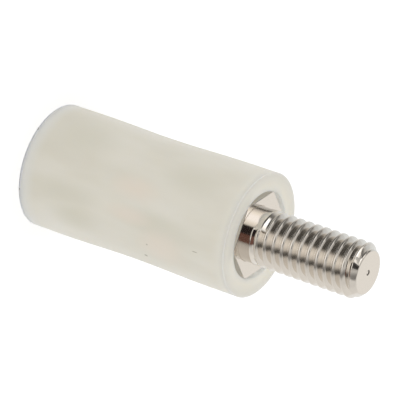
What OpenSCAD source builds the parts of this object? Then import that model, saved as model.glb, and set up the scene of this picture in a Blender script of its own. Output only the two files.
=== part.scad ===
// Insulated threaded standoff: a round nylon spacer with a hexagonal metal
// insert pressed into each end. One insert carries a male stud and the other
// is tapped for a screw, and a nylon web between them insulates one from the
// other. The spacer stands on its tapped end, with the stud pointing up.

/* [Spacer] */
// Outside diameter of the nylon spacer over its two ends
body_d = 13; // [12:0.1:16]
// Length of the nylon spacer between its two end faces
body_len = 25; // [22:0.5:60]
// How far the surface draws in at mid length, away from the inserts
waist_depth = 0.16; // [0.05:0.01:0.4]
// Length over which the surface draws in and comes back out
waist_len = 18; // [8:0.5:20]
// Width of the broken edge round each end face
edge_break = 0.08; // [0.02:0.01:0.3]

/* [Inserts] */
// Width across the flats of the hexagonal bar that both inserts are cut from
hex_flats = 8; // [7:0.1:9]
// How much is turned off the bar's six corners, on the radius
corner_turned = 0.1; // [0.05:0.01:0.3]
// Depth of the stud insert's hexagon inside the spacer
stud_insert_len = 8; // [5:0.5:10]
// Length of the tapped insert
tapped_insert_len = 9; // [6:0.5:11]
// Lead chamfer on the corners at each insert's inner end
insert_lead = 0.5; // [0.2:0.05:0.8]
// Radial clearance between a turned corner and its bore in the nylon
corner_clearance = 0.01; // [0.01:0.01:0.05]
// Width of the broken edge round each bore's mouth
bore_break = 0.12; // [0.02:0.01:0.3]

/* [Thread] */
// Nominal diameter of the thread at both ends
thread_d = 6; // [4:0.5:6]
// Pitch of the thread at both ends
thread_pitch = 1; // [0.5:0.05:1]
// How much smaller than nominal the stud's crests are
crest_allowance = 0.14; // [0.02:0.01:0.2]

/* [Stud] */
// Length of the stud beyond the spacer's end face
stud_len = 12.7; // [8:0.1:30]
// How much thinner than the thread's crests the plain neck is
neck_step = 0.1; // [0.02:0.01:0.5]
// Length of the plain neck where the stud leaves its hexagon
neck_len = 0.6; // [0.3:0.1:3]
// Length of the full-width collar between the neck and the thread's first turn
collar_len = 0.6; // [0.2:0.1:2]
// Chamfer round the stud's tip, along the stud and across it
tip_chamfer = 0.7; // [0.3:0.05:1.2]
// Diameter of the turning mark in the middle of the tip
centre_mark_d = 0.6; // [0.2:0.05:1]
// Depth of the turning mark
centre_mark_depth = 0.12; // [0.05:0.01:0.3]

/* [Tapped hole] */
// Countersink at each mouth of the tapped hole, along it and across it
mouth_chamfer = 0.6; // [0.2:0.05:0.8]

/* [Hidden] */

// Segments of a drawn circle
$fn = 96;
// Steps along the waist's curve
waist_steps = 24;
// How far a cutting shape runs past the face that it cuts
overrun = 1;

body_r = body_d/2;
hex_corner_d = hex_flats/cos(30) - 2*corner_turned;
insert_bore_d = hex_corner_d + 2*corner_clearance;
stud_d = thread_d - crest_allowance;
neck_d = stud_d - neck_step;
tap_drill_d = thread_d - thread_pitch;
stud_top = body_len + stud_len;

// Metric thread form: 60 degrees between the flanks, crests an eighth of the
// pitch wide, and a flat root at a sixth of the sharp V's height
flank_angle = 30;
crest_width = thread_pitch/8;
sharp_v = thread_pitch*cos(flank_angle);
groove_depth = (1 - 1/8 - 1/6)*sharp_v;
groove_mouth = thread_pitch - crest_width;
groove_root = groove_mouth - 2*groove_depth*tan(flank_angle);

// How far the surface lies inside the ends' radius at a height: a smooth bell
// round mid length that starts and ends flush with the straight ends
function waist_at(z) = waist_depth*(1 + cos(360*(z - body_len/2)/waist_len))/2;

// Right half of the spacer's section, from the axis out to its surface
module body_section() {
    waist_start = (body_len - waist_len)/2;
    waist_points = [
        for (step = [0:waist_steps])
            let (z = waist_start + waist_len*step/waist_steps)
            [body_r - waist_at(z), z]
    ];
    polygon(concat(
        [[0, 0], [body_r - edge_break, 0], [body_r, edge_break]],
        waist_points,
        [[body_r, body_len - edge_break], [body_r - edge_break, body_len], [0, body_len]]
    ));
}

// Round bar with a chamfer at its upper end, which turns a hexagon's corners
module turned_bar(d, len, chamfer) {
    cylinder(d = d, h = len - chamfer);
    translate([0, 0, len - chamfer])
        cylinder(d1 = d, d2 = d - 2*chamfer, h = chamfer);
}

// Hexagonal bar with its corners turned, standing on its outer face, with one
// pair of corners along X and the lead chamfer at the top
module hex_insert(len) {
    intersection() {
        cylinder(d = hex_flats/cos(30), h = len, $fn = 6);
        turned_bar(hex_corner_d, len, insert_lead);
    }
}

// Bore for an insert, with a broken edge at its mouth in the plane z = 0
module insert_bore(len) {
    mouth_len = bore_break + overrun;
    translate([0, 0, -overrun]) {
        cylinder(d = insert_bore_d, h = len + overrun);
        cylinder(d1 = insert_bore_d + 2*mouth_len, d2 = insert_bore_d, h = mouth_len);
    }
}

// Nylon spacer: a blind bore from each end, with a solid web between them
module insulator_body() {
    color([0.86, 0.85, 0.80])
    difference() {
        rotate_extrude()
            body_section();
        insert_bore(tapped_insert_len);
        translate([0, 0, body_len])
            mirror([0, 0, 1])
                insert_bore(stud_insert_len);
    }
}

// Groove of one turn of the stud's thread, drawn as a closed ring round z = 0.
// Its flanks run on past the crests, so that it cuts them clean
module thread_groove() {
    past_crest = thread_pitch/10;
    outer_width = groove_mouth + 2*past_crest*tan(flank_angle);
    rotate_extrude()
        translate([stud_d/2, 0])
            polygon([
                [-groove_depth, -groove_root/2],
                [past_crest, -outer_width/2],
                [past_crest, outer_width/2],
                [-groove_depth, groove_root/2]
            ]);
}

// Stud insert: the hexagon ends flush with the nylon, and the neck, the
// threaded length and the chamfered tip stand out of it
module stud_insert() {
    collar_start = body_len + neck_len;
    first_groove = collar_start + collar_len + groove_mouth/2;
    color([0.80, 0.78, 0.74])
    difference() {
        union() {
            translate([0, 0, body_len])
                mirror([0, 0, 1])
                    hex_insert(stud_insert_len);
            translate([0, 0, body_len - overrun])
                cylinder(d = neck_d, h = neck_len + overrun);
            translate([0, 0, collar_start])
                turned_bar(stud_d, stud_top - collar_start, tip_chamfer);
        }
        for (z = [first_groove : thread_pitch : stud_top - tip_chamfer])
            translate([0, 0, z])
                thread_groove();
        translate([0, 0, stud_top - centre_mark_depth])
            cylinder(d1 = 0, d2 = centre_mark_d, h = centre_mark_depth);
    }
}

// Tapped insert: flush with the nylon at the bottom and drilled through to
// the web, with a countersink at each mouth
module tapped_insert() {
    mouth_d = tap_drill_d + 2*mouth_chamfer;
    color([0.80, 0.78, 0.74])
    difference() {
        hex_insert(tapped_insert_len);
        translate([0, 0, -overrun])
            cylinder(d = tap_drill_d, h = tapped_insert_len + 2*overrun);
        cylinder(d1 = mouth_d, d2 = tap_drill_d, h = mouth_chamfer);
        translate([0, 0, tapped_insert_len - mouth_chamfer])
            cylinder(d1 = tap_drill_d, d2 = mouth_d, h = mouth_chamfer);
    }
}

insulator_body();
stud_insert();
tapped_insert();
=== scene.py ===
from math import cos, pi, radians, sin, sqrt, tan

import bmesh
import bpy
from mathutils import Matrix, Vector


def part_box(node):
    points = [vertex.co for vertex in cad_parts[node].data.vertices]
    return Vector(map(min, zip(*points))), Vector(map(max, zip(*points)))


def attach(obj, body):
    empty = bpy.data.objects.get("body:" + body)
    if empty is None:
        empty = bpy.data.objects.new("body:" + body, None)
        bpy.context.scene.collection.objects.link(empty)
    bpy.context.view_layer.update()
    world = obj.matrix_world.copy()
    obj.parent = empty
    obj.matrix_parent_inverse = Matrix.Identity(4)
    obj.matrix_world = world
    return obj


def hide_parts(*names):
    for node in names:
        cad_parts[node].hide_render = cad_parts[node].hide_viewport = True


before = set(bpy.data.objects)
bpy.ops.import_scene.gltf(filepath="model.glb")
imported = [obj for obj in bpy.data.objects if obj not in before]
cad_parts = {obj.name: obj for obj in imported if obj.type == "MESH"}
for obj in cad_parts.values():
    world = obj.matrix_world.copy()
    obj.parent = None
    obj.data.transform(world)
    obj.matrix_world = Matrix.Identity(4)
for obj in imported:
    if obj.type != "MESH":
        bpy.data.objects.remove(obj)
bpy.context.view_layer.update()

# Sizes are in millimetres and become metres where a mesh is made.
MM = 0.001

# From the frame: the spacer's size, the stud's reach and how deep the bores go.
BODY_LOW, BODY_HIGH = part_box("insulator_body")
BODY_R = round((BODY_HIGH.x - BODY_LOW.x)/2/MM, 2)
BODY_LEN = BODY_HIGH.z/MM
STUD_LOW, STUD_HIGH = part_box("stud_insert")
STUD_TOP = STUD_HIGH.z/MM
STUD_BORE_FLOOR = STUD_LOW.z/MM
TAPPED_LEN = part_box("tapped_insert")[1].z/MM

# Points round a turned surface and round a hexagonal bar.
TURNED_POINTS = 192
BAR_POINTS = 360
# How far a solid runs past a face that it cuts, or into one that it joins.
OVERRUN = 0.5
# A step between surfaces that would otherwise coincide, and how close two points are to become one.
HAIR = 0.001
MERGE_WITHIN = 0.0001

# The spacer's surface: its waist, its rounded rims and the bores' mouths.
WAIST_DEPTH = 0.16
WAIST_LEN = 18.0
WAIST_STEPS = 48
RIM_R = 0.06
MOUTH_R = 0.12

# The hexagonal bar of both inserts, with its corners turned to fit the bores.
HEX_FLATS = 8.0
CORNER_R = HEX_FLATS/2/cos(radians(30)) - 0.1
BORE_R = CORNER_R + 0.01
HEX_LEAD = 0.5
HEX_EDGE = 0.03

# The stud's thread. Its flanks bulge a little, and the edges of its crests and roots are rounded over a
# small depth. The phase is a crest's height at +X, as a share of the pitch.
PITCH = 1.0
THREAD_DEPTH = 0.58
CREST_HALF = 0.08
FLANK_SLOPE = 0.8
FLANK_BULGE = 0.2
CREST_BLEND = 0.03
ROOT_BLEND = 0.02
THREAD_PHASE = 0.5
# How deep the groove may be at heights above the spacer. The die stopped with an edge at an angle from +X,
# and its two sides differ.
DIE_STOP_DEG = -100
RUN_OUT_PAST = ((0.72, 0.0), (1.05, 0.183), (1.25, THREAD_DEPTH))
RUN_OUT_BEFORE = ((1.45, 0.0), (2.05, 0.333), (2.3, THREAD_DEPTH))
# The die cuts deeper over the tip's chamfer.
LEAD_LEN = 0.8
LEAD_RISE = 0.3
LEAD_DEPTH = 0.2

# The stud's crests, its plain neck and how far that reaches up into the collar, the collar's lower edge,
# the chamfered tip and the turning mark in it.
CREST_R = 2.93
NECK_R = 2.88
NECK_LEN = 0.6
COLLAR_EDGE = 0.03
NECK_REACH = 0.1
TIP_CHAMFER = 0.7
TIP_ROUND_R = 0.15
MARK_R = 0.3
MARK_DEPTH = 0.08

# The tapped hole, whose crests are the tap drill's wall.
TAPPED_ROOT_R = 3.0
TAPPED_CREST_R = 2.5
MOUTH_CHAMFER = 0.6

# The camera: how the spacer lies in the photograph, which is 400 pixels wide.
PHOTO_PX = 400
SENSOR_MM = 36
FOCAL_PX = 3334
FACE_CENTRE_PX = (259.37, 235.27)
FACE_DIAMETER_PX = 130.87
LEAN_DEG = 29.12
SLOPE_DEG = 18.91
TURN_DEG = 1.28

# What bright metal sees round a studio: six rings of dark and light cards, from low to overhead. Azimuths
# are in degrees, 0 toward the camera and positive toward +X.
CARD_LEVEL = 1.7
WORLD_LEVEL = 0.95
CARD_TINT = (1.0, 0.975, 0.93)
BLACK = (0.010, 0.006, 0.006)
BROWN = (0.102, 0.050, 0.038)
WHITE = (0.98, 0.98, 1.0)
COOL = (0.56, 0.57, 0.565)
LOW_CARDS = (
    (-180, COOL), (-140, 0.52), (-120, 0.36), (-110, 0.24), (-100, 0.14), (-90, 0.09), (-80, 0.07),
    (-70, 0.065), (-60, 0.09), (-50, 0.14), (-40, 0.23), (-30, 0.34), (-20, 0.46), (-10, 0.57), (2, 0.57),
    (10, 0.47), (20, 0.35), (30, 0.24), (40, 0.16), (50, 0.25), (58, 0.39), (70, 0.45), (90, 0.475),
    (110, 0.50), (140, 0.57), (179, COOL))
LEVEL_CARDS = (
    (-180, COOL), (-155, (0.51, 0.53, 0.535)), (-148, (0.50, 0.515, 0.52)), (-138, (0.50, 0.51, 0.50)),
    (-125, 0.47), (-112, 0.33), (-102, 0.15), (-92, 0.09), (-82, 0.075), (-72, 0.07), (-60, 0.065),
    (-52, 0.06), (-43, 0.06), (-37, 0.12), (-32, 0.22), (-27, 0.40), (-22, 0.56), (-10, 0.69), (0, 0.73),
    (10, 0.63), (21, 0.50), (31, 0.18), (37, 0.10), (42, 0.07), (48, 0.12), (53, 0.34), (61, 0.475),
    (80, 0.525), (100, 0.57), (140, (0.59, 0.59, 0.585)), (179, COOL))
UPPER_CARDS = (
    (-180, 0.58), (-165, 0.52), (-150, (0.45, 0.455, 0.455)), (-143, (0.42, 0.43, 0.43)),
    (-137, (0.40, 0.41, 0.41)), (-131, 0.32), (-126, 0.08), (-119, 0.12), (-112, 0.36), (-100, 0.65),
    (-88, 0.86), (-70, WHITE), (-52, WHITE), (-38, 0.82), (-27, 0.62), (-21, BLACK), (10, BLACK),
    (14, BROWN), (44, BROWN), (50, 0.29), (60, 0.41), (84, 0.49), (120, 0.50), (140, 0.53), (160, 0.53),
    (179, 0.57))
HIGH_CARDS = (
    (-180, 0.45), (-140, 0.45), (-129, 0.38), (-124, 0.20), (-118, 0.12), (-113, 0.12), (-108, 0.13),
    (-103, 0.40), (-97, 0.60), (-88, 0.66), (-60, 0.72), (-31, 0.68), (-25, 0.035), (2, 0.035), (8, 0.30),
    (22, 0.42), (45, 0.46), (66, 0.49), (97, 0.46), (113, 0.50), (128, 0.53), (150, 0.50), (179, 0.45))
TOP_CARDS = (
    (-180, 0.30), (-110, 0.29), (-102, 0.26), (-93, 0.31), (-76, 0.31), (-65, 0.34), (-53, 0.40),
    (-30, 0.42), (-26, BLACK), (2, 0.02), (8, 0.30), (26, 0.36), (38, 0.24), (53, 0.15), (68, 0.13),
    (76, 0.28), (85, 0.42), (93, 0.46), (120, 0.46), (179, 0.30))
ZENITH_CARDS = (
    (-180, 0.30), (-85, 0.25), (-68, 0.30), (-53, 0.39), (-10, 0.40), (20, 0.37), (40, 0.25), (53, 0.19),
    (68, 0.12), (85, 0.14), (120, 0.30), (179, 0.30))
# Where each ring gives way to the next one up, as the upward part of a direction. The top ring's edge dips
# at both sides.
LEVEL_EDGE = (-0.45, -0.41)
UPPER_EDGE = (0.27, 0.33)
HIGH_EDGE = (0.54, 0.62)
TOP_EDGE = (0.912, 0.928)
TOP_DIP = 0.2
ZENITH_EDGE = (0.945, 0.975)

# The nylon's colours, on the whole and where it is cloudy, warm or marked, with painted light at both ends
# and in the bores, and painted shade at the shoulder's edge. The foot is its lower end, and the shoulder is
# the end round the stud.
GRAIN = ((0.32, (0.735, 0.705, 0.618)), (0.5, (0.765, 0.738, 0.655)), (0.68, (0.79, 0.765, 0.69)))
CLOUD_AND_INSERT_SHADE_COLOUR = (0.71, 0.686, 0.593, 1)
WARM_COLOUR = (0.80, 0.735, 0.645, 1)
MARK_COLOUR = (0.30, 0.27, 0.20, 1)
FOOT_PAINTED_LIGHT = (0.79, 0.78, 0.73, 1)
FOOT_EDGE_PAINTED_LIGHT = (0.96, 0.95, 0.92, 1)
SHOULDER_PAINTED_LIGHT = (0.76, 0.742, 0.675, 1)
SHOULDER_EDGE_PAINTED_SHADE = (0.61, 0.592, 0.55, 1)
BORE_PAINTED_LIGHT = (0.95, 0.91, 0.80, 1)
# How deep light wanders in the nylon, in metres, and how much deeper at a bore's bright wall.
WANDER = 0.0012
WANDER_AT_BORE = 0.007
# The nylon's unevenness, as (angle round the spacer, height, width, length) in degrees and mm: cloudy
# darker patches, some of them painted shade where the inserts darken the nylon from within, warmer ones and
# small dark marks.
CLOUDS_AND_INSERT_SHADE = (
    (-38, 5.5, 3.6, 5.2), (-30, 19.0, 2.4, 5.0), (20, 5.5, 1.9, 5.5), (21, 16.5, 1.9, 6.5),
    (40, 7.0, 2.6, 4.5), (110, 8.0, 3.0, 5.0), (150, 17.0, 2.4, 6.0), (-95, 14.0, 2.6, 5.0),
    (-140, 6.0, 2.8, 5.0), (-170, 20.0, 2.2, 3.5))
WARM_CLOUDS = ((-5, 13.5, 1.9, 3.8), (42, 17.5, 2.8, 3.8), (20, 13.5, 1.4, 3.8), (175, 10.0, 2.4, 4.0))
MARKS = (
    (23.2, 8.87, 0.12, 0.25), (43.6, 15.74, 0.18, 0.20), (59.7, 15.25, 0.24, 0.34),
    (32.5, 21.63, 0.055, 0.40), (-28, 0.08, 0.20, 0.10), (31, 0.08, 0.14, 0.08), (128, 12.3, 0.20, 0.30),
    (-122, 19.4, 0.18, 0.34))

# Bright nickel plate, and a ring of painted shade round the turning mark, for the dark of its steep wall.
NICKEL_COLOUR = (0.74, 0.70, 0.65, 1)
MARK_RING_PAINTED_SHADE = (0.25, 0.23, 0.21, 1)

# The floor reaches this far from the part.
FLOOR_HALF = 1000


def build(name, points, faces, sharp_deg=30):
    """A smooth-shaded object from points in millimetres, sharp where its faces turn by a larger angle."""
    mesh = bpy.data.meshes.new(name)
    mesh.from_pydata([(x*MM, y*MM, z*MM) for x, y, z in points], [], faces)
    bm = bmesh.new()
    bm.from_mesh(mesh)
    bmesh.ops.recalc_face_normals(bm, faces=bm.faces)
    bm.to_mesh(mesh)
    bm.free()
    piece = bpy.data.objects.new(name, mesh)
    bpy.context.scene.collection.objects.link(piece)
    shade(piece, sharp_deg)
    return piece


def shade(piece, sharp_deg=30):
    """Smooth shading that breaks where the faces turn by more than an angle."""
    mesh = piece.data
    mesh.polygons.foreach_set("use_smooth", [True]*len(mesh.polygons))
    mesh.set_sharp_from_angle(angle=radians(sharp_deg))


def combine(piece, tool, operation):
    """Unites a piece with a tool, cuts the tool out or keeps what lies in both, and removes the tool."""
    modifier = piece.modifiers.new("combine", "BOOLEAN")
    modifier.operation = operation
    modifier.solver = "EXACT"
    modifier.object = tool
    bpy.context.view_layer.update()
    depsgraph = bpy.context.evaluated_depsgraph_get()
    mesh = bpy.data.meshes.new_from_object(piece.evaluated_get(depsgraph))
    piece.modifiers.clear()
    bm = bmesh.new()
    bm.from_mesh(mesh)
    bmesh.ops.remove_doubles(bm, verts=bm.verts, dist=MERGE_WITHIN*MM)
    bm.to_mesh(mesh)
    bm.free()
    piece.data = mesh
    bpy.data.objects.remove(tool)
    shade(piece)


def lathe(name, profile):
    """A solid of revolution about Z. The profile's (radius, height) points start and end on the axis."""
    inner = profile[1:-1]
    rows = len(inner)
    points = [(0, 0, profile[0][1])]
    for i in range(TURNED_POINTS):
        a = 2*pi*i/TURNED_POINTS
        points += [(r*cos(a), r*sin(a), z) for r, z in inner]
    points.append((0, 0, profile[-1][1]))
    last = len(points) - 1
    faces = []
    for i in range(TURNED_POINTS):
        here = 1 + i*rows
        there = 1 + (i + 1) % TURNED_POINTS*rows
        faces.append((0, there, here))
        faces += [(here + j, there + j, there + j + 1, here + j + 1) for j in range(rows - 1)]
        faces.append((last, here + rows - 1, there + rows - 1))
    return build(name, points, faces)


def arc(centre, r, start_deg, end_deg, steps=5):
    """Points along an arc in the plane of radius and height."""
    angles = [radians(start_deg + (end_deg - start_deg)*i/steps) for i in range(steps + 1)]
    return [(centre[0] + r*cos(a), centre[1] + r*sin(a)) for a in angles]


def flank_reach(depth):
    """How far a flank is from its crest's edge at a depth, along the axis."""
    return FLANK_SLOPE*depth - FLANK_BULGE*depth**2


def groove_depth(u, full):
    """Depth of the thread's groove at a distance u from the middle of a crest, with rounded edges."""
    reach = abs(u) - CREST_HALF
    raw = (FLANK_SLOPE - sqrt(FLANK_SLOPE**2 - 4*FLANK_BULGE*reach))/(2*FLANK_BULGE)
    if raw < -CREST_BLEND:
        return 0.0
    if raw < CREST_BLEND:
        return (raw + CREST_BLEND)**2/(4*CREST_BLEND)
    if raw < full - ROOT_BLEND:
        return raw
    if raw < full + ROOT_BLEND:
        return full - (full + ROOT_BLEND - raw)**2/(4*ROOT_BLEND)
    return full


def half_pitch_rows(full):
    """Where half a pitch gets rows of points, from the middle of a crest to the middle of a root."""
    crest_edge = (-CREST_BLEND, -CREST_BLEND/2, 0, CREST_BLEND/2, CREST_BLEND)
    flank = (0.2*full, 0.4*full, 0.6*full, 0.8*full)
    root_edge = (full - ROOT_BLEND, full)
    rows = [0] + [CREST_HALF + flank_reach(raw) for raw in crest_edge + flank + root_edge]
    return rows + [(rows[-1] + PITCH/2)/2, PITCH/2]


def threaded_rod(name, z_low, z_high, full_depth, radius_at):
    """A right-hand threaded rod about Z, whose radius_at(z, depth of groove, angle) gives its radius.

    It is a column of points at each angle, and each column lies a little higher than the one before, so
    the last joins the first a turn up. Both ends close in a point, past the heights that are kept.
    """
    half = half_pitch_rows(full_depth)
    across = [-u for u in reversed(half[1:])] + half[:-1]
    per_turn = len(across)
    first_turn = int(z_low/PITCH) - 1
    last_turn = int(z_high/PITCH) + 2
    turns = range(first_turn, last_turn)
    rows = [(turn*PITCH + u, groove_depth(u, full_depth)) for turn in turns for u in across]
    count = len(rows)
    points = []
    for i in range(TURNED_POINTS):
        a = 2*pi*i/TURNED_POINTS
        rise = PITCH*(i/TURNED_POINTS + THREAD_PHASE)
        for z, depth in rows:
            r = radius_at(z + rise, depth, a)
            points.append((r*cos(a), r*sin(a), z + rise))
    faces = []
    for i in range(TURNED_POINTS - 1):
        here = i*count
        faces += [(here + j, here + count + j, here + count + j + 1, here + j + 1) for j in range(count - 1)]
    seam = (TURNED_POINTS - 1)*count
    faces += [(seam + j, j + per_turn, j + per_turn + 1, seam + j + 1) for j in range(count - 1 - per_turn)]
    low_edge = [i*count for i in range(TURNED_POINTS)] + list(range(per_turn, 0, -1))
    high_edge = [i*count + count - 1 for i in range(TURNED_POINTS)]
    high_edge += [seam + count - 1 - j for j in range(1, per_turn + 1)]
    for edge, z in ((low_edge, z_low - 3*PITCH), (high_edge, z_high + 5*PITCH)):
        centre = len(points)
        points.append((0, 0, z))
        faces += [(centre, edge[k], edge[(k + 1) % len(edge)]) for k in range(len(edge))]
    return build(name, points, faces)


def hexagon_outline(corner_r, inset=0.0):
    """Points round the hexagonal bar, whose corners are turned to a radius and lie along X."""
    points = []
    for i in range(BAR_POINTS):
        angle_deg = 360*i/BAR_POINTS
        from_flat = radians(angle_deg % 60 - 30)
        r = min(corner_r, HEX_FLATS/2/cos(from_flat)) - inset
        points.append((r*cos(radians(angle_deg)), r*sin(radians(angle_deg))))
    return points


def hexagonal_bar(name, levels):
    """A bar through (height, corner radius, inset) levels from the bottom up."""
    points = []
    for z, corner_r, inset in levels:
        points += [(x, y, z) for x, y in hexagon_outline(corner_r, inset)]
    n = BAR_POINTS
    faces = [tuple(range(n))]
    for level in range(len(levels) - 1):
        low = level*n
        faces += [(low + i, low + (i + 1) % n, low + n + (i + 1) % n, low + n + i) for i in range(n)]
    faces.append(tuple(range((len(levels) - 1)*n, len(levels)*n)))
    return build(name, points, faces, sharp_deg=20)


def make_spacer():
    """The nylon spacer, with a bore from each end and the web between them."""
    waist_low = (BODY_LEN - WAIST_LEN)/2
    outside = [(BORE_R, TAPPED_LEN)]
    outside += arc((BORE_R + MOUTH_R, MOUTH_R), MOUTH_R, 180, 270, 3)
    outside += arc((BODY_R - RIM_R, RIM_R), RIM_R, -90, 0)
    for i in range(WAIST_STEPS + 1):
        z = waist_low + WAIST_LEN*i/WAIST_STEPS
        drawn_in = WAIST_DEPTH*(1 - cos(2*pi*i/WAIST_STEPS))/2
        outside.append((BODY_R - drawn_in, z))
    outside += arc((BODY_R - RIM_R, BODY_LEN - RIM_R), RIM_R, 0, 90)
    outside += arc((BORE_R + MOUTH_R, BODY_LEN - MOUTH_R), MOUTH_R, 90, 180, 3)
    outside.append((BORE_R, STUD_BORE_FLOOR))
    return lathe("spacer", [(0, TAPPED_LEN)] + outside + [(0, STUD_BORE_FLOOR)])


def stud_radius(z, depth, angle):
    """The stud's radius where a full thread's groove has a depth. It is shallower over the run-out."""
    height = z - BODY_LEN
    past_stop = (angle - radians(DIE_STOP_DEG)) % (2*pi) < pi
    run_out = RUN_OUT_PAST if past_stop else RUN_OUT_BEFORE
    allowed = THREAD_DEPTH
    for (low, at_low), (high, at_high) in zip(run_out, run_out[1:]):
        if height < high:
            allowed = at_low + (at_high - at_low)*max(0, height - low)/(high - low)
            break
    lead = LEAD_DEPTH*min(1, max(0, z - STUD_TOP + LEAD_LEN)/LEAD_RISE)
    return CREST_R - min(depth + lead, allowed)


def make_stud():
    """The stud insert: its hexagon, neck, thread, chamfered tip and turning mark."""
    collar_start = BODY_LEN + NECK_LEN
    neck_top = collar_start + NECK_REACH
    rod_start = collar_start + NECK_REACH/2
    stud = threaded_rod("stud", collar_start, STUD_TOP, THREAD_DEPTH, stud_radius)
    wide = CREST_R + OVERRUN
    tip_r = CREST_R - TIP_CHAMFER - TIP_ROUND_R*tan(radians(22.5))
    envelope = lathe("envelope", [
        (0, rod_start), (wide, rod_start), (wide, STUD_TOP - TIP_CHAMFER - (wide - CREST_R)),
        *arc((tip_r, STUD_TOP - TIP_ROUND_R), TIP_ROUND_R, 45, 90, 4), (tip_r - 0.05, STUD_TOP),
        (MARK_R, STUD_TOP), (MARK_R - MARK_DEPTH, STUD_TOP - MARK_DEPTH), (0, STUD_TOP - MARK_DEPTH)])
    combine(stud, envelope, "INTERSECT")
    collar_r = CREST_R + HAIR
    neck = lathe("neck", [
        (0, BODY_LEN - OVERRUN), (NECK_R, BODY_LEN - OVERRUN), (NECK_R, collar_start),
        (collar_r, collar_start + COLLAR_EDGE), (collar_r, neck_top), (0, neck_top)])
    combine(stud, neck, "UNION")
    hexagon = hexagonal_bar("hexagon", [
        (STUD_BORE_FLOOR, CORNER_R - HEX_LEAD, 0), (STUD_BORE_FLOOR + HEX_LEAD, CORNER_R, 0),
        (BODY_LEN - HEX_EDGE, CORNER_R, 0), (BODY_LEN, CORNER_R, HEX_EDGE)])
    combine(stud, hexagon, "UNION")
    return stud


def make_tapped():
    """The tapped insert: hexagonal bar with an internal thread and a countersink at each mouth."""
    bar = hexagonal_bar("tapped", [
        (0, CORNER_R, HEX_EDGE), (HEX_EDGE, CORNER_R, 0),
        (TAPPED_LEN - HEX_LEAD, CORNER_R, 0), (TAPPED_LEN, CORNER_R - HEX_LEAD, 0)])
    depth = TAPPED_ROOT_R - TAPPED_CREST_R
    tap = threaded_rod("tap", -1, TAPPED_LEN + 1, depth, lambda z, groove, angle: TAPPED_ROOT_R - groove)
    combine(bar, tap, "DIFFERENCE")
    mouth_r = TAPPED_CREST_R + MOUTH_CHAMFER
    wide = mouth_r + OVERRUN
    for z, way in ((0, 1), (TAPPED_LEN, -1)):
        outer = z - way*OVERRUN
        cone = lathe("cone", [(0, outer), (wide, outer), (0, z + way*mouth_r)][::way])
        combine(bar, cone, "DIFFERENCE")
    return bar


def node(tree, kind, inputs=(), **settings):
    """A new shader node. An input gets a number, a colour or the socket that feeds it."""
    made = tree.nodes.new(kind)
    for name, value in settings.items():
        setattr(made, name, value)
    for name, value in dict(inputs).items():
        if isinstance(value, bpy.types.NodeSocket):
            tree.links.new(value, made.inputs[name])
        else:
            made.inputs[name].default_value = value
    return made


def calc(tree, operation, a, b=0.0, clamp=False):
    """The result of a math node on two numbers or sockets."""
    return node(tree, "ShaderNodeMath", {0: a, 1: b}, operation=operation, use_clamp=clamp).outputs[0]


def vector_calc(tree, operation, a, b):
    """The vector that a vector math node makes of two vectors or sockets."""
    return node(tree, "ShaderNodeVectorMath", {0: a, 1: b}, operation=operation).outputs["Vector"]


def distance(tree, a, b):
    """The distance between two places."""
    return node(tree, "ShaderNodeVectorMath", {0: a, 1: b}, operation="DISTANCE").outputs["Value"]


def ramp(tree, factor, stops):
    """The colour of a ramp through (position, grey or colour) stops."""
    made = node(tree, "ShaderNodeValToRGB", {"Fac": factor})
    elements = made.color_ramp.elements
    while len(elements) > 1:
        elements.remove(elements[-1])
    for i, (position, tone) in enumerate(stops):
        element = elements[0] if i == 0 else elements.new(position)
        element.position = position
        element.color = (*tone, 1) if isinstance(tone, tuple) else (tone, tone, tone, 1)
    return made.outputs["Color"]


def mix(tree, factor, a, b):
    """Colour a where the factor is 0 and colour b where it is 1."""
    made = node(tree, "ShaderNodeMix", data_type="RGBA")
    for socket, value in zip((made.inputs[0], made.inputs[6], made.inputs[7]), (factor, a, b)):
        if isinstance(value, bpy.types.NodeSocket):
            tree.links.new(value, socket)
        else:
            socket.default_value = value
    return made.outputs[2]


def between(tree, value, low, high, smooth=True):
    """Rises from 0 to 1 as the value goes from low to high."""
    kind = "SMOOTHSTEP" if smooth else "LINEAR"
    return node(tree, "ShaderNodeMapRange", {"Value": value, "From Min": low, "From Max": high},
                interpolation_type=kind).outputs["Result"]


def make_material(name):
    """A material with the Principled shader, its tree and the shader node."""
    material = bpy.data.materials.new(name)
    material.use_nodes = True
    tree = material.node_tree
    return material, tree, tree.nodes["Principled BSDF"]


def spots(tree, place, where, edge):
    """1 in the middle of soft spots on the spacer, (angle, height, width, length), and 0 between them."""
    total = 0.0
    for angle, height, width, length in where:
        a = radians(angle)
        centre = (BODY_R*sin(a)*MM, -BODY_R*cos(a)*MM, height*MM)
        offset = vector_calc(tree, "SUBTRACT", place, centre)
        scaled = vector_calc(tree, "MULTIPLY", offset, [1/(size*MM) for size in (width, width, length)])
        away = node(tree, "ShaderNodeVectorMath", {0: scaled}, operation="LENGTH").outputs["Value"]
        total = calc(tree, "MAXIMUM", total, between(tree, away, 1, edge))
    return total


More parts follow.
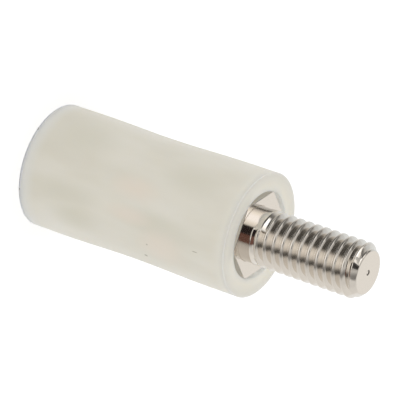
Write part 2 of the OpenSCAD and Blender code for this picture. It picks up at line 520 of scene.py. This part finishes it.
def make_nylon():
    """Natural nylon, off-white and a little translucent, with cloudy patches, a few marks, and painted light
    and shade at its ends, bores and over the inserts.
    """
    material, tree, shader = make_material("nylon")
    place = node(tree, "ShaderNodeTexCoord").outputs["Object"]
    x, y, height = node(tree, "ShaderNodeSeparateXYZ", {"Vector": place}).outputs
    squares = calc(tree, "ADD", calc(tree, "MULTIPLY", x, x), calc(tree, "MULTIPLY", y, y))
    from_axis = calc(tree, "SQRT", squares)
    drawn_out = vector_calc(tree, "MULTIPLY", place, (1, 1, 0.35))
    noise = node(tree, "ShaderNodeTexNoise", {"Vector": drawn_out, "Scale": 260, "Detail": 3})
    cloudy = noise.outputs["Fac"]
    tone = ramp(tree, cloudy, GRAIN)
    # Cloudy darker patches; those over the inserts are painted shade, where the metal inside darkens the
    # nylon.
    clouds_and_insert_shade = calc(tree, "MULTIPLY", spots(tree, place, CLOUDS_AND_INSERT_SHADE, 0.1), calc(tree, "ADD", cloudy, 0.3))
    tone = mix(tree, clouds_and_insert_shade, tone, CLOUD_AND_INSERT_SHADE_COLOUR)
    warm = calc(tree, "MULTIPLY", spots(tree, place, WARM_CLOUDS, 0.1), 0.8)
    tone = mix(tree, warm, tone, WARM_COLOUR)
    # Painted light: both ends are painted lighter, and the foot's edge nearly white, to lift the shade where
    # the foot meets the floor and on the end face.
    tone = mix(tree, between(tree, height, 2.0*MM, 0.4*MM), tone, FOOT_PAINTED_LIGHT)
    tone = mix(tree, between(tree, height, 0.4*MM, 0), tone, FOOT_EDGE_PAINTED_LIGHT)
    # The shoulder is painted lighter too, as painted light on the end face.
    near_end = between(tree, height, (BODY_LEN - 1.6)*MM, (BODY_LEN - 0.2)*MM)
    tone = mix(tree, near_end, tone, SHOULDER_PAINTED_LIGHT)
    # Painted shade: the shoulder's edge is painted darker, to offset the extra light that comes out of the
    # nylon there.
    section = node(tree, "ShaderNodeCombineXYZ", {"X": from_axis, "Z": height}).outputs[0]
    from_edge = distance(tree, section, (BODY_R*MM, 0, BODY_LEN*MM))
    near_edge = between(tree, from_edge, 0.8*MM, 0, smooth=False)
    tone = mix(tree, calc(tree, "MULTIPLY", near_edge, near_edge), tone, SHOULDER_EDGE_PAINTED_SHADE)
    # Painted light: the end faces and the bores are painted paler toward the axis, to lift the shade in the
    # gaps round the inserts, less so on the side toward the camera.
    inward = between(tree, from_axis, 6.1*MM, BORE_R*MM)
    away_from_front = calc(tree, "ADD", between(tree, y, -4.8*MM, -3.2*MM), 0.35, clamp=True)
    tone = mix(tree, calc(tree, "MULTIPLY", inward, away_from_front), tone, BORE_PAINTED_LIGHT)
    marks = calc(tree, "MULTIPLY", spots(tree, place, MARKS, 0.5), 0.75)
    tree.links.new(mix(tree, marks, tone, MARK_COLOUR), shader.inputs["Base Color"])
    shader.inputs["Roughness"].default_value = 0.45
    shader.inputs["Specular IOR Level"].default_value = 0.2
    shader.inputs["Subsurface Weight"].default_value = 1.0
    shader.inputs["Subsurface Radius"].default_value = (1.0, 0.95, 0.85)
    at_bore = between(tree, from_axis, (BORE_R + 0.09)*MM, (BORE_R + 0.01)*MM)
    wander = calc(tree, "ADD", calc(tree, "MULTIPLY", at_bore, WANDER_AT_BORE), WANDER)
    tree.links.new(wander, shader.inputs["Subsurface Scale"])
    return material


def make_nickel():
    """Bright nickel plate, with a thin ring of painted shade round the turning mark."""
    material, tree, shader = make_material("nickel")
    place = node(tree, "ShaderNodeTexCoord").outputs["Object"]
    from_mark = distance(tree, place, (0, 0, STUD_TOP*MM))
    inside = between(tree, from_mark, (MARK_R + 0.01)*MM, (MARK_R - 0.02)*MM)
    outside = between(tree, from_mark, (MARK_R - 0.15)*MM, (MARK_R - 0.12)*MM)
    # The dark ring is painted shade, for the dark of the turning mark's steep wall.
    tone = mix(tree, calc(tree, "MULTIPLY", inside, outside), NICKEL_COLOUR, MARK_RING_PAINTED_SHADE)
    tree.links.new(tone, shader.inputs["Base Color"])
    shader.inputs["Metallic"].default_value = 1.0
    shader.inputs["Roughness"].default_value = 0.10
    return material


def make_camera():
    """A camera that sees the spacer as the photograph does."""
    lean = radians(LEAN_DEG)
    slope = radians(SLOPE_DEG)
    turn = radians(TURN_DEG)
    # The model's axes in the camera's own right, down and forward directions.
    axis = Vector((cos(lean)*cos(slope), cos(lean)*sin(slope), -sin(lean)))
    level = Vector((-sin(slope), cos(slope), 0))
    x_axis = cos(turn)*level + sin(turn)*axis.cross(level)
    y_axis = axis.cross(x_axis)
    right, down, forward = Matrix((x_axis, y_axis, axis)).transposed()
    mm_per_px = 2*BODY_R/FACE_DIAMETER_PX
    offset = [c - PHOTO_PX/2 for c in FACE_CENTRE_PX]
    place = Vector((0, 0, BODY_LEN)) - mm_per_px*(offset[0]*right + offset[1]*down + FOCAL_PX*forward)
    camera = bpy.data.cameras.new("camera")
    camera.sensor_width = SENSOR_MM
    camera.lens = SENSOR_MM*FOCAL_PX/PHOTO_PX
    camera.clip_start = 0.01
    camera.clip_end = 10
    facing = Matrix((right, -down, -forward)).transposed().to_4x4()
    holder = bpy.data.objects.new("camera", camera)
    holder.matrix_world = Matrix.Translation(place*MM) @ facing
    bpy.context.scene.collection.objects.link(holder)
    bpy.context.scene.camera = holder


def make_floor():
    """A plain pale floor under the part, which metal doesn't mirror."""
    far = FLOOR_HALF
    floor = build("floor", [(-far, -far, 0), (far, -far, 0), (far, far, 0), (-far, far, 0)], [(0, 1, 2, 3)])
    material, tree, shader = make_material("floor")
    shader.inputs["Base Color"].default_value = (0.9, 0.9, 0.9, 1)
    shader.inputs["Roughness"].default_value = 1.0
    shader.inputs["Emission Color"].default_value = (1, 1, 1, 1)
    camera_ray = node(tree, "ShaderNodeLightPath").outputs["Is Camera Ray"]
    tree.links.new(calc(tree, "MULTIPLY", camera_ray, 0.25), shader.inputs["Emission Strength"])
    floor.data.materials.append(material)
    floor.visible_glossy = False


def make_world():
    """A plain white surround, in which bright metal sees a studio's light and dark cards."""
    world = bpy.data.worlds.new("world")
    world.use_nodes = True
    tree = world.node_tree
    direction = node(tree, "ShaderNodeTexCoord").outputs["Generated"]
    x, y, z = node(tree, "ShaderNodeSeparateXYZ", {"Vector": direction}).outputs
    azimuth = calc(tree, "ARCTAN2", x, calc(tree, "MULTIPLY", y, -1))
    round_once = between(tree, azimuth, -pi, pi, smooth=False)
    low, level, upper, high, top, zenith = [
        ramp(tree, round_once, [
            (angle/360 + 0.5, tone if isinstance(tone, tuple) else tuple(tone*tint for tint in CARD_TINT))
            for angle, tone in cards])
        for cards in (LOW_CARDS, LEVEL_CARDS, UPPER_CARDS, HIGH_CARDS, TOP_CARDS, ZENITH_CARDS)]
    dipping = calc(tree, "ADD", z, calc(tree, "MULTIPLY", calc(tree, "ABSOLUTE", x), TOP_DIP))
    cards = low
    for upward, edge, ring in (
            (z, LEVEL_EDGE, level), (z, UPPER_EDGE, upper), (z, HIGH_EDGE, high),
            (dipping, TOP_EDGE, top), (z, ZENITH_EDGE, zenith)):
        cards = mix(tree, between(tree, upward, *edge), cards, ring)
    glossy = node(tree, "ShaderNodeLightPath").outputs["Is Glossy Ray"]
    seen = node(tree, "ShaderNodeBackground", {"Color": cards, "Strength": CARD_LEVEL}).outputs[0]
    light = node(tree, "ShaderNodeBackground", {"Color": (1, 1, 1, 1), "Strength": WORLD_LEVEL}).outputs[0]
    both = node(tree, "ShaderNodeMixShader", {0: glossy, 1: light, 2: seen}).outputs[0]
    tree.links.new(both, tree.nodes["World Output"].inputs["Surface"])
    bpy.context.scene.world = world


make_camera()
make_floor()
make_world()

nylon = make_nylon()
nickel = make_nickel()
for piece, stands_for, material, slot in (
        (make_spacer(), "insulator_body", nylon, "nylon"),
        (make_stud(), "stud_insert", nickel, "nickel_plate"),
        (make_tapped(), "tapped_insert", nickel, "nickel_plate")):
    piece.data.materials.clear()
    piece.data.materials.append(material)
    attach(piece, "root")
    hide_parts(stands_for)

bpy.context.scene.view_settings.view_transform = "Standard"
